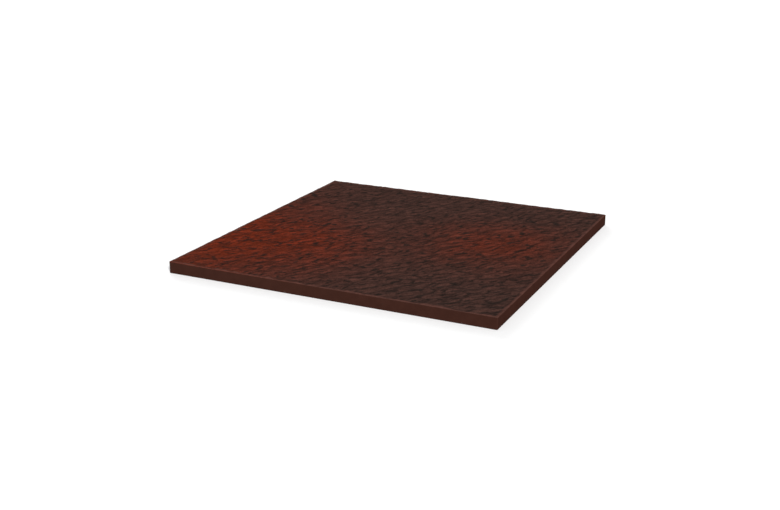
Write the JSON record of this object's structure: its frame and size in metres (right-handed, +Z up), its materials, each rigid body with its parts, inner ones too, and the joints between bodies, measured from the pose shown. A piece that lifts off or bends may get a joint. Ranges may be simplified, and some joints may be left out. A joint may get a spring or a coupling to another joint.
{
  "type": "clinker floor tile",
  "caption": "Square fired clinker floor tile with a slate-textured face, eased edges and a keyed back for bedding in tile adhesive.",
  "frame": {"origin": "middle of the bedding face, on the plane that the ribs and rim of the back stand on", "axes": "+Z up through the face that is walked on, X and Y along the two sides"},
  "size_m": [0.3, 0.3, 0.011],
  "materials": {
    "fired_clinker": "unglazed dark brown clinker, flamed to brick red in patches on the face"
  },
  "bodies": {
    "root": {"clinker_tile": "fired_clinker"}
  },
  "joints": []
}
